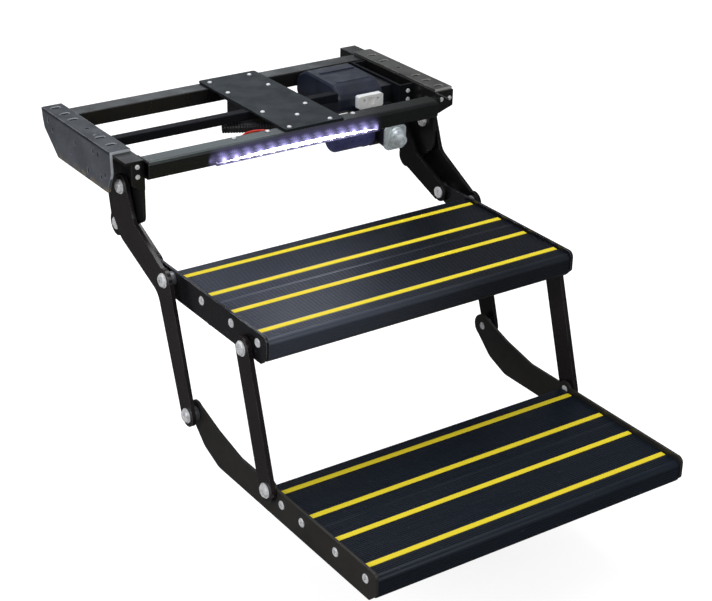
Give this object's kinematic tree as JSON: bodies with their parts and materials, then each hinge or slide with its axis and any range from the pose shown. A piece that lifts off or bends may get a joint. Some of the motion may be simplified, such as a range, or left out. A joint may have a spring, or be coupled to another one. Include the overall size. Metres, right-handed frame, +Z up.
{
  "type": "caravan pull out step",
  "caption": "Electric folding double step for a caravan door: floor frame with gearmotor and light, swinging side arms and grooved treads.",
  "frame": {"origin": "middle of the four outer floor slots, on the face of the mounting angles that bolts up against the floor", "axes": "+X along the tread to the right as seen by a user facing the door, -Y outwards to the user, +Z up"},
  "size_m": [0.594, 0.8768, 0.4141],
  "materials": {
    "black_steel": "satin black powder coat, worn at the cut edges",
    "worn_steel": "rubbed grey-black steel",
    "cover_grey": "dark grey satin powder coat",
    "tread_black": "black anodised extrusion with fine grooves",
    "grip_yellow": "matt yellow grip insert",
    "zinc": "pale zinc plating",
    "dark_zinc": "dark plated steel",
    "motor_black": "blue-black moulded plastic",
    "cast_black": "black painted casting",
    "plated_cap": "bright plated casting",
    "connector_white": "off-white moulded plastic",
    "light_housing": "black folded strip",
    "light_diffuser": "frosted white lens",
    "rubber": "black rubber",
    "lead_colour": "coloured lead insulation"
  },
  "bodies": {
    "frame": {"mount_angle_left": "worn_steel", "mount_angle_right": "worn_steel", "side_plate_left": "black_steel", "side_plate_right": "black_steel", "rail_screws": "zinc", "front_bar": "black_steel", "middle_bar": "black_steel", "rear_bar": "black_steel", "cover_plate": "cover_grey", "cover_screws": "zinc", "cover_nuts": "zinc", "light_channel": "light_housing", "light_lens": "light_diffuser", "gear_housing": "motor_black", "gearbox": "cast_black", "motor_can": "motor_black", "motor_cap": "plated_cap", "motor_carrier": "black_steel", "carrier_screws": "zinc", "terminal_block": "connector_white", "control_box": "motor_black", "cable_conduit": "rubber", "light_leads": "lead_colour", "arm_pivot_bolts": "zinc", "arm_pivot_nuts": "zinc", "arm_pivot_spacers": "dark_zinc", "level_pivot_bolt": "zinc", "level_spacers": "dark_zinc", "stop_rollers": "rubber", "stop_bolts": "zinc"},
    "main_arms": {"main_arm_left": "black_steel", "main_arm_right": "black_steel"},
    "level_arms": {"level_arm_left": "black_steel", "level_arm_right": "black_steel", "output_shaft": "dark_zinc"},
    "upper_tread": {"upper_tread_rear_plank": "tread_black", "upper_tread_front_plank": "tread_black", "upper_grip_strips": "grip_yellow", "upper_bracket_left": "black_steel", "upper_bracket_right": "black_steel", "upper_tread_screws": "zinc", "tread_pivot_bolts": "zinc", "tread_pivot_spacers": "dark_zinc", "link_top_bolts": "zinc", "link_top_washers": "dark_zinc", "level_pins": "zinc", "tread_buffers": "rubber"},
    "front_links": {"front_link_left": "black_steel", "front_link_right": "black_steel"},
    "lower_tread": {"lower_tread_rear_plank": "tread_black", "lower_tread_front_plank": "tread_black", "lower_grip_strips": "grip_yellow", "lower_bracket_left": "black_steel", "lower_bracket_right": "black_steel", "lower_tread_screws": "zinc", "lower_pivot_bolts": "zinc", "lower_pivot_spacers": "dark_zinc", "link_end_bolts": "zinc", "link_end_washers": "dark_zinc"}
  },
  "joints": [
    {"name": "main_fold", "type": "hinge", "parent": "frame", "child": "main_arms", "pos_m": [0, -0.095, -0.059], "axis": [1, 0, 0], "range_deg": [0, 100]},
    {"name": "level_fold", "type": "hinge", "parent": "frame", "child": "level_arms", "pos_m": [0, -0.035, -0.059], "axis": [1, 0, 0], "range_deg": [0, 100]},
    {"name": "upper_tread_pivot", "type": "hinge", "parent": "main_arms", "child": "upper_tread", "pos_m": [0, -0.219, -0.159], "axis": [1, 0, 0], "range_deg": [-100, 0]},
    {"name": "lower_tread_pivot", "type": "hinge", "parent": "main_arms", "child": "lower_tread", "pos_m": [0, -0.278, -0.349], "axis": [1, 0, 0], "range_deg": [-100, 0]},
    {"name": "link_pivot", "type": "hinge", "parent": "upper_tread", "child": "front_links", "pos_m": [0, -0.422, -0.179], "axis": [1, 0, 0], "range_deg": [0, 100]}
  ],
  "couplings": [
    {"joint": "level_fold", "follows": "main_fold", "ratio": 1},
    {"joint": "upper_tread_pivot", "follows": "main_fold", "ratio": -1},
    {"joint": "lower_tread_pivot", "follows": "main_fold", "ratio": -1},
    {"joint": "link_pivot", "follows": "main_fold", "ratio": 1}
  ]
}
